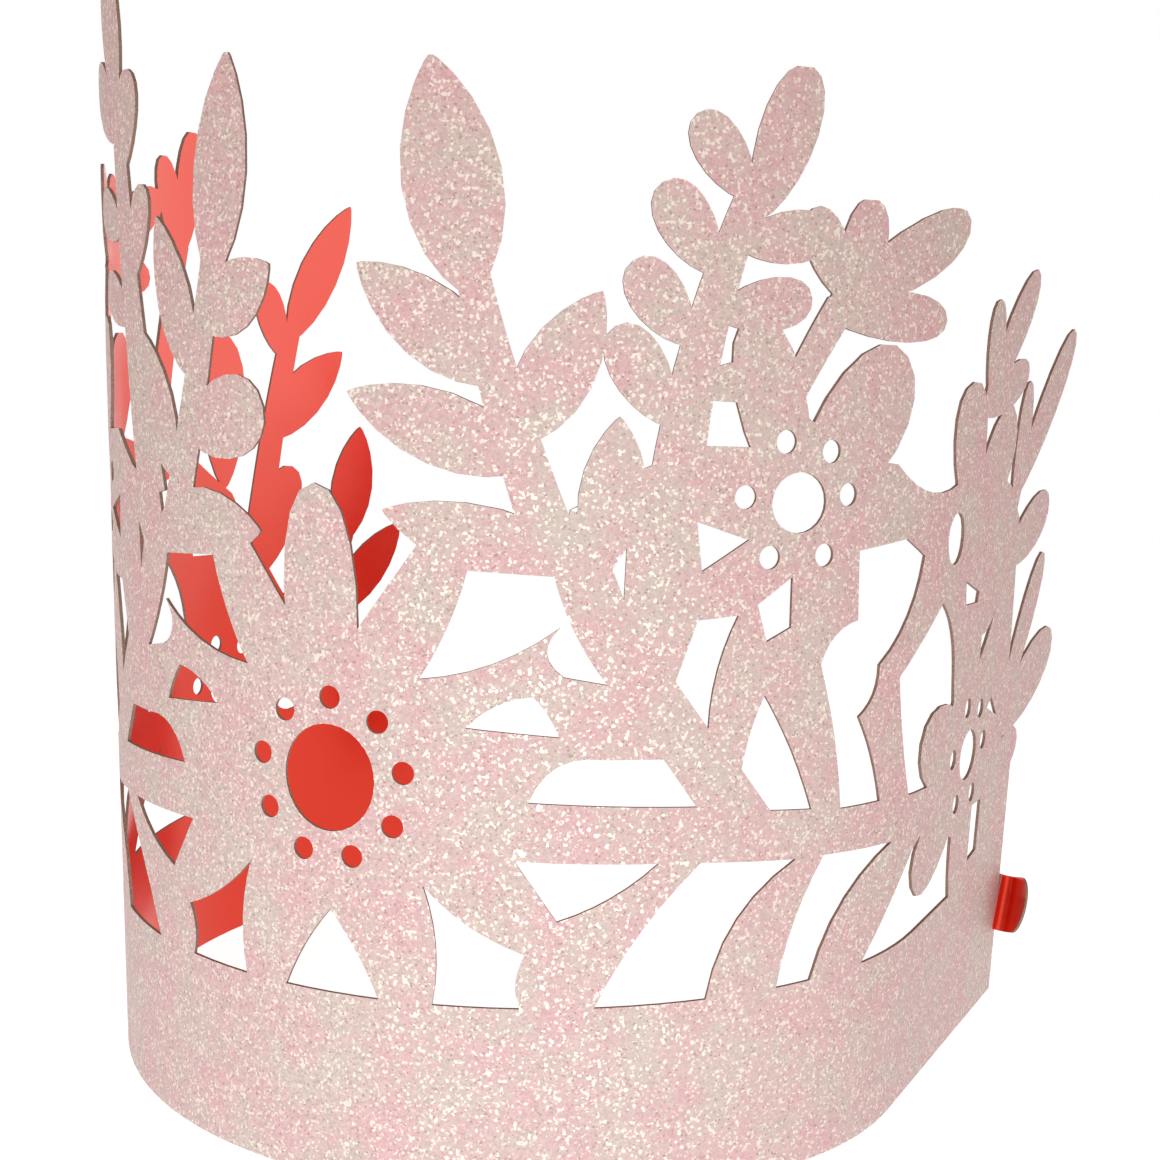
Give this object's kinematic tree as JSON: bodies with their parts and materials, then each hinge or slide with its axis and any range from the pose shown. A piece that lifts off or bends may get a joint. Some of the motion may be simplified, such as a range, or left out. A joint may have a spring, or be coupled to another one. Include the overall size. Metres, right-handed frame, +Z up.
{
  "type": "birthday crown",
  "caption": "Open-backed paper crown curled from one die-cut sheet, with a plain band below and pierced leaves, sprigs and daisies above.",
  "frame": {"origin": "centre of the main curl, on the surface that the lower edge stands on", "axes": "+Z up, -Y to the front of the crown, +X to the right as seen from the front"},
  "size_m": [0.1674, 0.14, 0.17],
  "materials": {
    "glitter_card": "pink glitter outside, red mirror foil inside, die-cut edges"
  },
  "bodies": {
    "root": {"crown_sheet": "glitter_card"}
  },
  "joints": []
}
